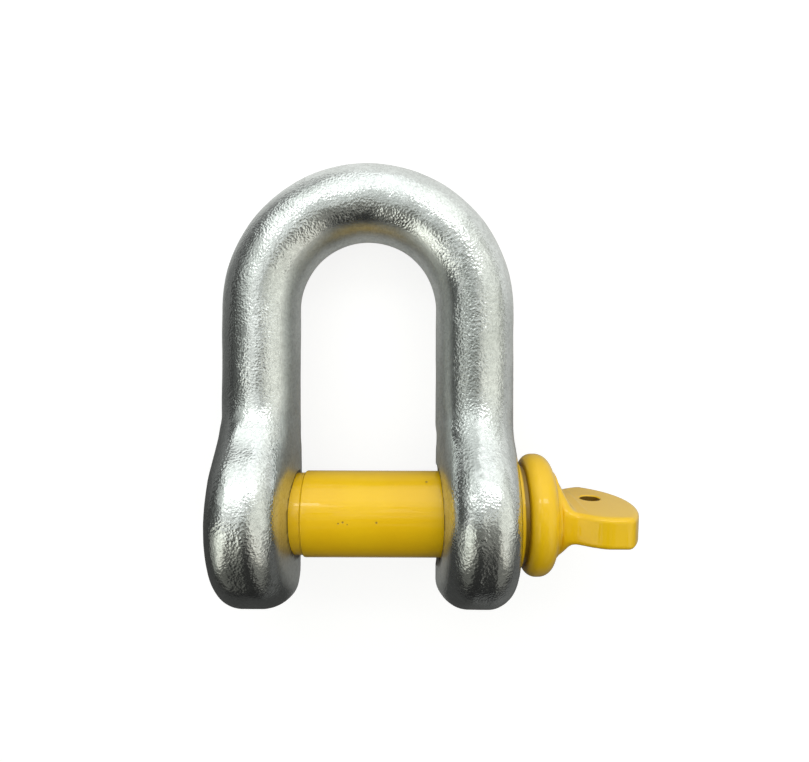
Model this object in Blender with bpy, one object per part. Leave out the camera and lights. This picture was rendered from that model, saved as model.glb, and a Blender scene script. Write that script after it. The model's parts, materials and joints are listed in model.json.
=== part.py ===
"""Screw pin chain joining shackle, nominal size 25 mm.

Two forgings make the whole product: a dee-shaped body with a round eye at the end of each
leg, and a screw pin whose flat head has a hole for the mousing wire.

The shackle is drawn in its own frame: the pin along x, the bow towards +y and the plane of
the dee at z = 0. An empty then lays it on the ground, where it rests on both eyes and on the
crown of the bow. All lengths are in metres.
"""

import math

import bmesh
import bpy
import numpy as np

# Bar, bow and legs
BAR_DIAMETER = 0.0253
INSIDE_WIDTH = 0.0447
INSIDE_LENGTH = 0.0755

# Eyes, the round ends of the legs that carry the pin
EYE_DIAMETER = 0.0596
EYE_THICKNESS = 0.02475
EYE_INNER_RELIEF = 0.00015
EYE_DRAFT = math.radians(7.0)
EYE_RIM_RADIUS = 0.0088
EYE_SIDE_FILLET = 0.0045
EYE_FRONT_FILLET = 0.0180
LEG_TAPER_DEPTH = 0.0220
PLAIN_BORE_PLAY = 0.0014
PLAIN_BORE_CHAMFER = 0.0012
TAPPED_BORE_CHAMFER = 0.0006

# Pin, from its threaded tip to its collar
PIN_DIAMETER = 0.0280
PIN_EDGE_CHAMFER = 0.0007
THREAD_DIAMETER = 0.0266
THREAD_CLEARANCE = 0.0003
THREAD_TIP_CHAMFER = 0.0018
THREAD_TIP_RECESS = 0.0008
SHOULDER_SETBACK = 0.0019
SEAT_CLEARANCE = 0.0003
SEAT_DIAMETER = 0.0352
SEAT_HEIGHT = 0.0029
COLLAR_DIAMETER = 0.0396
COLLAR_THICKNESS = 0.0091
COLLAR_INNER_RADIUS = 0.0034
COLLAR_OUTER_RADIUS = 0.0046

# Head, the flat plate that the pin is turned by
NECK_DIAMETER = 0.0280
NECK_LENGTH = 0.0068
HEAD_LENGTH = 0.0270
HEAD_WIDTH = 0.0380
HEAD_ROOT_WIDTH = 0.0260
HEAD_SHOULDER_LENGTH = 0.0130
HEAD_THICKNESS = 0.0100
HEAD_EDGE_RADIUS = 0.0014
HEAD_END_RADIUS = 0.0260
HEAD_END_OFFSET = 0.0030
HEAD_DROP = 0.0005
HEAD_TILT = math.radians(5.5)
WIRE_HOLE_DIAMETER = 0.0066
WIRE_HOLE_FROM_END = 0.0125
WIRE_HOLE_OFFSET = 0.0035
WIRE_HOLE_CHAMFER = 0.0004

# How finely the curved faces are divided
RING_POINTS = 44
BOW_STEPS = 28
LEG_STEPS = 14
EYE_STEPS = 13
TURN_STEPS = 48
NECK_STEPS = 6
ARC_STEPS = 5
SMOOTH_ANGLE = math.radians(32)

# Places that follow from the sizes
bar_radius = BAR_DIAMETER / 2
eye_radius = EYE_DIAMETER / 2
pin_radius = PIN_DIAMETER / 2
thread_radius = THREAD_DIAMETER / 2
leg_x = INSIDE_WIDTH / 2 + bar_radius
bow_y = pin_radius + INSIDE_LENGTH - INSIDE_WIDTH / 2
crown_y = bow_y + leg_x
eye_inner_x = INSIDE_WIDTH / 2 + EYE_INNER_RELIEF
eye_outer_x = eye_inner_x + EYE_THICKNESS
eye_x = (eye_inner_x + eye_outer_x) / 2
seat_x = eye_outer_x + SEAT_CLEARANCE
collar_x = seat_x + SEAT_HEIGHT
neck_x = collar_x + COLLAR_THICKNESS
head_end_x = neck_x + HEAD_LENGTH
far_side_x = max(eye_outer_x, leg_x + bar_radius)


def clear_scene():
    for old in list(bpy.data.objects):
        bpy.data.objects.remove(old, do_unlink=True)


def make_material(name, color, roughness, metallic):
    material = bpy.data.materials.new(name)
    material.use_nodes = True
    shader = material.node_tree.nodes["Principled BSDF"]
    shader.inputs["Base Color"].default_value = (*color, 1.0)
    shader.inputs["Roughness"].default_value = roughness
    shader.inputs["Metallic"].default_value = metallic
    return material


def make_object(name, mesh, parent):
    obj = bpy.data.objects.new(name, mesh)
    bpy.context.scene.collection.objects.link(obj)
    obj.parent = parent
    return obj


def skin(name, rings, start_cap, end_cap):
    """Close a run of rings into one mesh. A cap is the pole that its end ring fans into."""
    count = len(rings[0])
    bm = bmesh.new()
    loops = [[bm.verts.new(point) for point in ring] for ring in rings]
    for lower, upper in zip(loops, loops[1:]):
        for i in range(count):
            j = (i + 1) % count
            bm.faces.new((lower[i], lower[j], upper[j], upper[i]))
    for loop, pole in ((loops[0], start_cap), (loops[-1], end_cap)):
        tip = bm.verts.new(pole)
        for i in range(count):
            bm.faces.new((loop[i], loop[(i + 1) % count], tip))
    return finish_mesh(name, bm)


def finish_mesh(name, bm):
    bmesh.ops.recalc_face_normals(bm, faces=bm.faces)
    mesh = bpy.data.meshes.new(name)
    bm.to_mesh(mesh)
    bm.free()
    mesh.shade_smooth()
    mesh.set_sharp_from_angle(angle=SMOOTH_ANGLE)
    return mesh


def turn(name, profile):
    """Turn a profile of (x, radius) points about the x axis; its ends lie on the axis."""
    bm = bmesh.new()
    verts = [bm.verts.new((x, radius, 0.0)) for x, radius in profile]
    edges = [bm.edges.new(pair) for pair in zip(verts, verts[1:])]
    bmesh.ops.spin(
        bm, geom=verts + edges, cent=(0, 0, 0), axis=(1, 0, 0),
        angle=2 * math.pi, steps=TURN_STEPS, use_merge=True)
    bmesh.ops.remove_doubles(bm, verts=bm.verts, dist=1e-6)
    return finish_mesh(name, bm)


def arc(center_x, center_r, radius, start_deg, end_deg):
    """Points of a rounded edge in a turned profile."""
    angles = np.radians(np.linspace(start_deg, end_deg, ARC_STEPS + 1))
    return [(center_x + radius * math.cos(a), center_r + radius * math.sin(a)) for a in angles]


def ease(t):
    """Rise smoothly from 0 to 1, level at both ends."""
    t = np.clip(t, 0.0, 1.0)
    return t * t * (3 - 2 * t)


def forging_field(point):
    """Below zero inside the forging: eye discs and bar, joined with a fillet."""
    x, y, z = np.abs(point[..., 0]), point[..., 1], point[..., 2]

    # An eye is a disc about the pin axis whose rim is rounded. Its inner face leans away on
    # both sides of the dies' parting plane
    from_middle = np.maximum(x - eye_x, eye_x - x + np.abs(z) * math.tan(EYE_DRAFT))
    past_rim = np.maximum(np.hypot(y, z) - (eye_radius - EYE_RIM_RADIUS), 0)
    past_face = np.maximum(from_middle - (EYE_THICKNESS / 2 - EYE_RIM_RADIUS), 0)
    eye = np.hypot(past_rim, past_face) - EYE_RIM_RADIUS

    # The bar runs up the leg and round the bow, and its foot tapers away inside the eye
    from_line = np.where(y > bow_y, np.hypot(x, y - bow_y), x) - leg_x
    foot_y = eye_radius - LEG_TAPER_DEPTH
    foot = ease((y - foot_y) / LEG_TAPER_DEPTH)
    below = np.maximum(foot_y - y, 0)
    from_bar = np.hypot(from_line, z)
    bar = np.hypot(from_bar, below) - bar_radius * foot

    # The fillet is tight at the sides of the leg and generous on its front and back
    frontness = np.abs(z) / np.maximum(from_bar, bar_radius / 100)
    fillet = EYE_SIDE_FILLET + (EYE_FRONT_FILLET - EYE_SIDE_FILLET) * ease(frontness)
    overlap = np.maximum(fillet - np.abs(eye - bar), 0) / fillet
    return np.minimum(eye, bar) - overlap ** 3 * fillet / 6


def reach_surface(origin, direction):
    """Walk from inside the forging along unit directions to its surface."""
    stride = BAR_DIAMETER / 40
    far = np.full(direction.shape[0], stride)
    while True:
        inside = forging_field(origin + direction * far[:, None]) < 0
        if not inside.any():
            break
        far[inside] += stride
    near = far - stride
    for _ in range(30):
        middle = (near + far) / 2
        inside = forging_field(origin + direction * middle[:, None]) < 0
        near = np.where(inside, middle, near)
        far = np.where(inside, far, middle)
    return origin + direction * far[:, None]


def forging_ring(origin, outward, downward, drop_deg, flatness):
    """One ring of the loft. Its rays fan round the bar and can drop towards an eye's foot."""
    around = np.linspace(0, 2 * np.pi, RING_POINTS, endpoint=False)[:, None]
    drop = math.radians(drop_deg)
    across = np.array(outward) * np.cos(around) / flatness
    upright = np.array((0.0, 0.0, 1.0)) * np.sin(around)
    direction = (across + upright) * math.cos(drop) + np.array(downward) * math.sin(drop)
    direction /= np.linalg.norm(direction, axis=1)[:, None]
    return reach_surface(np.array(origin), direction)


def eye_and_leg_rings(side):
    """Rings from the foot of one eye up to where its leg meets the bow."""
    eye_flatness = EYE_DIAMETER / EYE_THICKNESS
    outward = (side, 0, 0)
    downward = (0, -1, 0)
    rings = []
    for step in range(EYE_STEPS, 0, -1):
        drop_deg = 90 * step / (EYE_STEPS + 1)
        rings.append(forging_ring((side * eye_x, 0, 0), outward, downward, drop_deg, eye_flatness))
    shoulder_y = eye_radius + EYE_FRONT_FILLET * 2 / 3
    for step in range(LEG_STEPS):
        rise = step / (LEG_STEPS - 1)
        y = shoulder_y * rise
        x = eye_x + (leg_x - eye_x) * ease(rise)
        flatness = eye_flatness + (1 - eye_flatness) * ease(rise)
        rings.append(forging_ring((side * x, y, 0), outward, downward, 0, flatness))
    return rings


def make_forging_mesh():
    rings = eye_and_leg_rings(-1)
    for step in range(BOW_STEPS + 1):
        angle = math.pi * (1 - step / BOW_STEPS)
        outward = (math.cos(angle), math.sin(angle), 0)
        origin = (leg_x * outward[0], bow_y + leg_x * outward[1], 0)
        rings.append(forging_ring(origin, outward, (0, 0, 0), 0, 1))
    rings += reversed(eye_and_leg_rings(1))
    foot = (eye_x, -eye_radius, 0)
    return skin("shackle_body", rings, (-foot[0], foot[1], 0), foot)


def bore_cutter(name, side, radius, chamfer, parent):
    """A drill through one eye that also breaks the edge at both faces."""
    past = COLLAR_THICKNESS
    profile = [
        (eye_inner_x - past, 0),
        (eye_inner_x - past, radius + chamfer + past),
        (eye_inner_x + chamfer, radius),
        (eye_outer_x - chamfer, radius),
        (eye_outer_x + past, radius + chamfer + past),
        (eye_outer_x + past, 0),
    ]
    mesh = turn(name, [(side * x, r) for x, r in profile])
    return hide_tool(make_object(name, mesh, parent))


def hide_tool(tool):
    tool.hide_render = True
    tool.display_type = "WIRE"
    return tool


def combine(target, tool, operation):
    modifier = target.modifiers.new(tool.name, "BOOLEAN")
    modifier.object = tool
    modifier.operation = operation
    modifier.solver = "EXACT"


def make_shackle_body(parent, material):
    body = make_object("shackle_body", make_forging_mesh(), parent)
    tapped = bore_cutter(
        "tapped_bore", -1, thread_radius + THREAD_CLEARANCE, TAPPED_BORE_CHAMFER, parent)
    plain = bore_cutter(
        "plain_bore", 1, pin_radius + PLAIN_BORE_PLAY, PLAIN_BORE_CHAMFER, parent)
    combine(body, tapped, "DIFFERENCE")
    combine(body, plain, "DIFFERENCE")
    body.data.materials.append(material)
    return body


def pin_profile():
    tip_x = THREAD_TIP_RECESS - eye_outer_x
    shoulder_x = SHOULDER_SETBACK - eye_inner_x
    seat_radius = SEAT_DIAMETER / 2
    collar_radius = COLLAR_DIAMETER / 2
    inner, outer = COLLAR_INNER_RADIUS, COLLAR_OUTER_RADIUS
    return [
        (tip_x, 0),
        (tip_x, thread_radius - THREAD_TIP_CHAMFER),
        (tip_x + THREAD_TIP_CHAMFER, thread_radius),
        (shoulder_x, thread_radius),
        (shoulder_x, pin_radius - PIN_EDGE_CHAMFER),
        (shoulder_x + PIN_EDGE_CHAMFER, pin_radius),
        (seat_x, pin_radius),
        (seat_x, seat_radius),
        (collar_x, seat_radius),
        *arc(collar_x + inner, collar_radius - inner, inner, 180, 90),
        *arc(neck_x - outer, collar_radius - outer, outer, 90, 0),
        (neck_x, 0),
    ]


def make_neck_mesh():
    """Loft from a round at the collar to a flat section just inside the head."""
    around = np.linspace(0, 2 * np.pi, TURN_STEPS, endpoint=False)
    skin_depth = HEAD_EDGE_RADIUS / 4
    rings = []
    for step in range(-1, NECK_STEPS + 1):
        flattened = ease(step / NECK_STEPS)
        x = neck_x + NECK_LENGTH * step / NECK_STEPS
        half_width = NECK_DIAMETER / 2
        half_height = half_width + (HEAD_THICKNESS / 2 - skin_depth - half_width) * flattened
        power = 2 / (2 + 2 * flattened)
        width = half_width * np.sign(np.cos(around)) * np.abs(np.cos(around)) ** power
        height = half_height * np.sign(np.sin(around)) * np.abs(np.sin(around)) ** power
        rings.append(np.column_stack((np.full(TURN_STEPS, x), height, width)))
    start = (rings[0][0][0], 0, 0)
    end = (rings[-1][0][0], 0, 0)
    return skin("neck", rings, start, end)


def head_outline():
    """Plan of the head as (x, z): a root that widens, straight sides and a round end."""
    half_root, half_width = HEAD_ROOT_WIDTH / 2, HEAD_WIDTH / 2
    side_x = neck_x + HEAD_SHOULDER_LENGTH
    widening = [
        (neck_x + HEAD_SHOULDER_LENGTH * t, half_root + (half_width - half_root) * float(ease(t)))
        for t in np.linspace(0, 1, ARC_STEPS + 2)]
    center_x = head_end_x - HEAD_END_RADIUS
    low = math.asin(max((-half_width - HEAD_END_OFFSET) / HEAD_END_RADIUS, -1))
    high = math.asin(min((half_width - HEAD_END_OFFSET) / HEAD_END_RADIUS, 1))
    end = [
        (max(center_x + HEAD_END_RADIUS * math.cos(a), side_x + HEAD_EDGE_RADIUS),
         HEAD_END_OFFSET + HEAD_END_RADIUS * math.sin(a))
        for a in np.linspace(low, high, 2 * ARC_STEPS + 2)]
    front = [(x, z) for x, z in reversed(widening)]
    back = [(x, -z) for x, z in widening]
    return back + end + front


def make_head_mesh():
    bm = bmesh.new()
    floor = [bm.verts.new((x, -HEAD_THICKNESS / 2, z)) for x, z in head_outline()]
    plate = bmesh.ops.extrude_face_region(bm, geom=[bm.faces.new(floor)])
    raised = [item for item in plate["geom"] if isinstance(item, bmesh.types.BMVert)]
    bmesh.ops.translate(bm, verts=raised, vec=(0, HEAD_THICKNESS, 0))
    bmesh.ops.recalc_face_normals(bm, faces=bm.faces)
    rims = [edge for edge in bm.edges if edge.calc_face_angle() > SMOOTH_ANGLE]
    bmesh.ops.bevel(
        bm, geom=rims, offset=HEAD_EDGE_RADIUS, segments=2, profile=0.5,
        affect="EDGES", clamp_overlap=True)
    return finish_mesh("head", bm)


def make_wire_hole(parent):
    """A drill across the head, with its edges broken on both faces."""
    radius = WIRE_HOLE_DIAMETER / 2
    half = HEAD_THICKNESS / 2
    past = WIRE_HOLE_DIAMETER / 2
    mesh = turn("wire_hole", [
        (-half - past, 0),
        (-half - past, radius + WIRE_HOLE_CHAMFER + past),
        (-half + WIRE_HOLE_CHAMFER, radius),
        (half - WIRE_HOLE_CHAMFER, radius),
        (half + past, radius + WIRE_HOLE_CHAMFER + past),
        (half + past, 0),
    ])
    hole = hide_tool(make_object("wire_hole", mesh, parent))
    hole.rotation_euler = (0, 0, math.pi / 2)
    hole.location = (head_end_x - WIRE_HOLE_FROM_END, 0, -WIRE_HOLE_OFFSET)
    return hole


def make_screw_pin(parent, material):
    pin = make_object("screw_pin", turn("screw_pin", pin_profile()), parent)
    tilt = make_object("head_tilt", None, parent)
    tilt.rotation_euler = (HEAD_TILT, 0, 0)
    tilt.location = (0, -HEAD_DROP, 0)
    neck = hide_tool(make_object("neck", make_neck_mesh(), tilt))
    head = hide_tool(make_object("head", make_head_mesh(), tilt))
    combine(pin, neck, "UNION")
    combine(pin, head, "UNION")
    combine(pin, make_wire_hole(tilt), "DIFFERENCE")
    pin.data.materials.append(material)
    return pin


def lay_on_ground():
    """The empty that pitches the bow down to the ground and centres the whole on the origin."""
    pitch = math.asin((eye_radius - bar_radius) / crown_y)
    low_y = -eye_radius
    high_y = crown_y * math.cos(pitch) + bar_radius
    ground = make_object("laid_on_ground", None, None)
    ground.rotation_euler = (-pitch, 0, 0)
    ground.location = (
        (far_side_x - head_end_x) / 2,
        -(low_y + high_y) / 2,
        eye_radius)
    return ground


def main():
    clear_scene()
    galvanised = make_material("galvanised_steel", (0.52, 0.55, 0.56), 0.32, 1.0)
    painted = make_material("yellow_paint", (0.83, 0.52, 0.03), 0.28, 0.0)
    ground = lay_on_ground()
    make_shackle_body(ground, galvanised)
    make_screw_pin(ground, painted)


main()
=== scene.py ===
import json
import math

import bpy
import numpy as np
from mathutils import Matrix, Vector

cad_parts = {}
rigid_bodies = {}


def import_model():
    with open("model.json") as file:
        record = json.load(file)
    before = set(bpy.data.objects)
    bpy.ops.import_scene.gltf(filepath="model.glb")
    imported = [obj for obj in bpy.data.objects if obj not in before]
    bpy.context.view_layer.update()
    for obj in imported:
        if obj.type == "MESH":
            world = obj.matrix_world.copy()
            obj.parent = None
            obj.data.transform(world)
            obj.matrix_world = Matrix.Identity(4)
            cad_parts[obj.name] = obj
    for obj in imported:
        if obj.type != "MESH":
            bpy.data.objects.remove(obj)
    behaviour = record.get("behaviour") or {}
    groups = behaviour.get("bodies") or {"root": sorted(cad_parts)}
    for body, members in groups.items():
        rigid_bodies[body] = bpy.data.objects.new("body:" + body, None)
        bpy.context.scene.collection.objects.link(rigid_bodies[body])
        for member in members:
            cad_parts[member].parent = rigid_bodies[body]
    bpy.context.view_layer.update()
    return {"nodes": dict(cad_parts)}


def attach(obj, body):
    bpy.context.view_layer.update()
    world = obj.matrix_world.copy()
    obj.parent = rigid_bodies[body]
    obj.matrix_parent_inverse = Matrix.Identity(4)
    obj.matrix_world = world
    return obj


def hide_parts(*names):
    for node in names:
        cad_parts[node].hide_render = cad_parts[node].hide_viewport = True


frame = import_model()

print("frame loaded:", ", ".join(sorted(frame["nodes"])))

# How the shackle lies: drawn with its pin along x and its bow towards y, then tipped about x
lying = {
    "pitch": -0.168691,  # radians, so that both eyes and the bow touch the ground
    "place": (-0.01945, -0.041775, 0.0298),
}
layMatrix = Matrix.Translation(lying["place"]) @ Matrix.Rotation(lying["pitch"], 4, "X")


def layDown(points):
    # world = turn * point + place
    turn = np.array(layMatrix.to_3x3())
    return points @ turn.T + np.array(lying["place"])


def ease(t):
    # 3 t^2 - 2 t^3 between 0 and 1, level at both ends
    t = np.clip(t, 0.0, 1.0)
    return t * t * (3 - 2 * t)


def unit(vectors):
    # Each vector over its own length
    return vectors / np.linalg.norm(vectors, axis=-1, keepdims=True)


def lumps(points, wavelength, seed, waves=40):
    # Sum of cosines of plane waves in every direction, scaled to about -1 to 1
    rng = np.random.default_rng(seed)
    way = unit(rng.normal(size=(waves, 3)))
    number = 2 * np.pi / (wavelength * rng.uniform(0.75, 1.35, waves))
    phase = rng.uniform(0, 2 * np.pi, waves)
    total = np.zeros(points.shape[:-1])
    for direction, k, shift in zip(way, number, phase):
        total += np.cos(points @ direction * k + shift)
    return total / math.sqrt(2 * waves)


def craters(points, cell, seed):
    # Distance to the nearest of one jittered point per cube of the grid, over the cube's side
    grid = points / cell
    home = np.floor(grid).astype(np.int64)
    nearest = np.full(points.shape[:-1], 9.0)
    for dx in (-1, 0, 1):
        for dy in (-1, 0, 1):
            for dz in (-1, 0, 1):
                cube = home + np.array((dx, dy, dz))
                # Large odd factors turn the cube's place into a number with no pattern
                key = cube[..., 0] * 73856093 ^ cube[..., 1] * 19349663 ^ cube[..., 2] * 83492791
                key = (key + seed * 2654435761) & 0xFFFFFF
                spot = np.stack([
                    (key * 1103515245 + 12345 >> 7 & 0xFFFF) / 65535.0,
                    (key * 134775813 + 1 >> 5 & 0xFFFF) / 65535.0,
                    (key * 22695477 + 7 >> 6 & 0xFFFF) / 65535.0], axis=-1)
                nearest = np.minimum(nearest, np.linalg.norm(cube + spot - grid, axis=-1))
    return nearest


def reachSurface(field, origin, direction, stride):
    # Along each ray, the first distance at which the field turns positive, halved down to it
    far = np.full(direction.shape[:-1], stride)
    for _ in range(400):
        inside = field(origin + direction * far[..., None]) < 0
        if not inside.any():
            break
        far = far + stride * inside
    near = far - stride
    for _ in range(16):
        middle = (near + far) / 2
        inside = field(origin + direction * middle[..., None]) < 0
        near = np.where(inside, middle, near)
        far = np.where(inside, far, middle)
    return origin + direction * far[..., None]


def fieldNormals(field, points, step=2e-5):
    # The field's slope along x, y and z, made one long
    slope = np.stack([
        field(points + offset) - field(points - offset)
        for offset in np.eye(3) * step], axis=-1)
    return unit(slope)


def gridMesh(name, grid, startPole, endPole, attributes=None):
    # Rows of the grid are closed rings; each end ring fans into its pole
    rows, columns = grid.shape[:2]
    points = np.concatenate([grid.reshape(-1, 3), [startPole], [endPole]])
    index = np.arange(rows * columns).reshape(rows, columns)
    right = np.roll(index, -1, axis=1)
    quads = np.stack([index[:-1], right[:-1], right[1:], index[1:]], axis=-1).reshape(-1, 4)
    low, high = rows * columns, rows * columns + 1
    startFan = np.stack([index[0], np.full(columns, low), right[0]], axis=-1)
    endFan = np.stack([index[-1], right[-1], np.full(columns, high)], axis=-1)
    fans = np.concatenate([startFan, endFan])
    corners = np.concatenate([quads.ravel(), fans.ravel()])
    sizes = np.concatenate([np.full(len(quads), 4), np.full(len(fans), 3)])
    starts = np.concatenate([[0], np.cumsum(sizes)[:-1]])
    mesh = bpy.data.meshes.new(name)
    mesh.vertices.add(len(points))
    mesh.vertices.foreach_set("co", points.ravel())
    mesh.loops.add(len(corners))
    mesh.loops.foreach_set("vertex_index", corners.astype(np.int32))
    mesh.polygons.add(len(sizes))
    mesh.polygons.foreach_set("loop_start", starts.astype(np.int32))
    mesh.update(calc_edges=True)
    for key, values in (attributes or {}).items():
        flat = np.concatenate([values.ravel(), [values[0].mean()], [values[-1].mean()]])
        layer = mesh.attributes.new(key, "FLOAT", "POINT")
        layer.data.foreach_set("value", flat.astype(np.float32))
    mesh.validate()
    return mesh


def turnOutward(mesh):
    # Signed volume by triangles from the origin; a negative one means the faces point inwards
    mesh.calc_loop_triangles()
    triangles = np.empty(len(mesh.loop_triangles) * 3, dtype=np.int32)
    mesh.loop_triangles.foreach_get("vertices", triangles)
    places = np.empty(len(mesh.vertices) * 3)
    mesh.vertices.foreach_get("co", places)
    corner = places.reshape(-1, 3)[triangles.reshape(-1, 3)]
    volume = np.einsum("ij,ij->i", corner[:, 0], np.cross(corner[:, 1], corner[:, 2])).sum() / 6
    if volume < 0:
        mesh.flip_normals()
    return mesh


def addObject(name, mesh):
    # The mesh as a new object in the scene's own collection
    obj = bpy.data.objects.new(name, mesh)
    bpy.context.scene.collection.objects.link(obj)
    return obj


def cutWith(obj, tools):
    # Exact boolean differences, applied, so that the finished piece is one plain mesh
    for tool in tools:
        cut = obj.modifiers.new(tool.name, "BOOLEAN")
        cut.object = tool
        cut.operation = "DIFFERENCE"
        cut.solver = "EXACT"
    bpy.context.view_layer.update()
    finished = bpy.data.meshes.new_from_object(
        obj.evaluated_get(bpy.context.evaluated_depsgraph_get()))
    obj.modifiers.clear()
    rough = obj.data
    obj.data = finished
    bpy.data.meshes.remove(rough)
    finished.name = obj.name
    for tool in tools:
        toolMesh = tool.data
        bpy.data.objects.remove(tool, do_unlink=True)
        bpy.data.meshes.remove(toolMesh)


def markWall(mesh, name, distanceFrom, radius):
    # 1 where the distance from the drill's axis is no more than its radius
    places = np.empty(len(mesh.vertices) * 3)
    mesh.vertices.foreach_get("co", places)
    local = (places.reshape(-1, 3) - np.array(lying["place"])) @ np.array(layMatrix.to_3x3())
    layer = mesh.attributes.new(name, "FLOAT", "POINT")
    layer.data.foreach_set("value", (distanceFrom(local) < radius).astype(np.float32))


def smoothFaces(mesh, sharpDegrees):
    # Smooth all over, with hard edges where faces meet at more than this angle
    mesh.shade_smooth()
    mesh.set_sharp_from_angle(angle=math.radians(sharpDegrees))


# The forged body: bow, legs and eyes in one skin, in metres
forging = {
    "barRadius": 0.01265,
    "legX": 0.0350,
    "bowY": 0.06715,
    "eyeX": 0.034875,
    "eyeRadius": 0.0298,
    "eyeHalf": 0.012375,  # half the eye's thickness
    "eyeDraft": math.radians(7.0),  # lean of its inner face, each way from the parting plane
    "draftRound": 0.0012,  # rounds the ridge where the two leans meet
    "rimRadius": 0.0088,
    "sideFillet": 0.0045,
    "frontFillet": 0.0180,
    "taperDepth": 0.0220,
    "partingHeight": 0.00009,  # trimmed flash along the dies' parting line
    "partingWidth": 0.0011,
    "columns": 152,
    "footRows": 60,
    "eyeRows": 62,
    "legRows": 34,
    "bowRows": 176,
    "sharpDegrees": 38,
}

forgedSkin = {
    "waviness": (0.00007, 0.0120),  # height and wavelength, metres
    "hammering": (0.000010, 0.0030),
    "craterDepth": 0.000012,
    "craterCell": 0.0019,
    "craterWidth": 0.42,
    "smoothInside": 0.80,  # how much of the grain is gone on the inner faces
    "innerFrom": 0.15,  # how far a normal leans inwards before its face counts as inner
    "innerSpan": 0.35,
    "frontFrom": 0.80,  # a normal's share of z from which its face is front or back
    "calmBelow": 0.038,  # y, where the eyes begin, whose skin is smoother
    "calmFade": 0.020,
    "patchPlace": (-0.0355, 0.0740),  # a smooth patch where the left leg meets the bow
    "patchReach": (0.0050, 0.0110),
    "patchStrength": 1.6,
}


def forgingField(points):
    # Least of a drafted disc with a rounded rim and a bar round the dee, less the cube of
    # how far they overlap within the fillet
    f = forging
    x, y, z = np.abs(points[..., 0]), points[..., 1], points[..., 2]
    pastRim = np.maximum(np.hypot(y, z) - (f["eyeRadius"] - f["rimRadius"]), 0)
    lean = (np.hypot(z, f["draftRound"]) - f["draftRound"]) * math.tan(f["eyeDraft"])
    fromMiddle = np.maximum(x - f["eyeX"], f["eyeX"] - x + lean)
    pastFace = np.maximum(fromMiddle - (f["eyeHalf"] - f["rimRadius"]), 0)
    eye = np.hypot(pastRim, pastFace) - f["rimRadius"]
    fromLine = np.where(y > f["bowY"], np.hypot(x, y - f["bowY"]), x) - f["legX"]
    footY = f["eyeRadius"] - f["taperDepth"]
    foot = ease((y - footY) / f["taperDepth"])
    below = np.maximum(footY - y, 0)
    fromBar = np.hypot(fromLine, z)
    bar = np.hypot(fromBar, below) - f["barRadius"] * foot
    frontness = np.abs(z) / np.maximum(fromBar, f["barRadius"] / 100)
    fillet = f["sideFillet"] + (f["frontFillet"] - f["sideFillet"]) * ease(frontness)
    overlap = np.maximum(fillet - np.abs(eye - bar), 0) / fillet
    return np.minimum(eye, bar) - overlap ** 3 * fillet / 6


def forgingRays():
    # Rows run from one eye's foot, up the leg, round the bow and down to the other foot
    f = forging
    squash = f["eyeRadius"] / f["eyeHalf"]
    top = f["eyeRadius"] + f["frontFillet"] * 0.7

    def row(origin, outward, down=(0, 0, 0), drop=0.0, flat=1.0):
        # Where its rays start, which way they leave, and how far they are bent down and flattened
        return (*origin, *outward, *down, drop, flat)

    def side(sign):
        # The eye's foot as a fan of rows, then level rows up the eye and the leg
        rows = []
        for step in range(f["footRows"], 0, -1):
            drop = math.pi / 2 * step / (f["footRows"] + 1)
            rows.append(row((sign * f["eyeX"], 0, 0), (sign, 0, 0), (0, -1, 0), drop, squash))
        for step in range(f["eyeRows"]):
            rise = step / (f["eyeRows"] - 1)
            soft = float(ease(rise))
            x = f["eyeX"] + (f["legX"] - f["eyeX"]) * soft
            flat = squash + (1 - squash) * soft
            rows.append(row((sign * x, top * rise, 0), (sign, 0, 0), (0, -1, 0), 0.0, flat))
        for step in range(1, f["legRows"]):
            y = top + (f["bowY"] - top) * step / f["legRows"]
            rows.append(row((sign * f["legX"], y, 0), (sign, 0, 0)))
        return rows

    bow = []
    for step in range(f["bowRows"] + 1):
        angle = math.pi * (1 - step / f["bowRows"])
        out = (math.cos(angle), math.sin(angle), 0)
        bow.append(row((f["legX"] * out[0], f["bowY"] + f["legX"] * out[1], 0), out))
    return np.array(side(-1) + bow + side(1)[::-1])


def forgedSurface():
    # Each grid point is where the ray (u round the bar, v along it) leaves the field
    f = forging
    rays = forgingRays()
    around = np.linspace(0, 2 * np.pi, f["columns"], endpoint=False)[None, :, None]
    origin = rays[:, None, 0:3]
    outward = rays[:, None, 3:6]
    down = rays[:, None, 6:9]
    drop = rays[:, None, 9:10]
    flat = rays[:, None, 10:11]
    upright = np.array((0.0, 0.0, 1.0))
    direction = (outward * np.cos(around) / flat + upright * np.sin(around)) * np.cos(drop)
    direction = unit(direction + down * np.sin(drop))
    origin = np.broadcast_to(origin, direction.shape)
    return reachSurface(forgingField, origin, direction, f["barRadius"] / 12)


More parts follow.
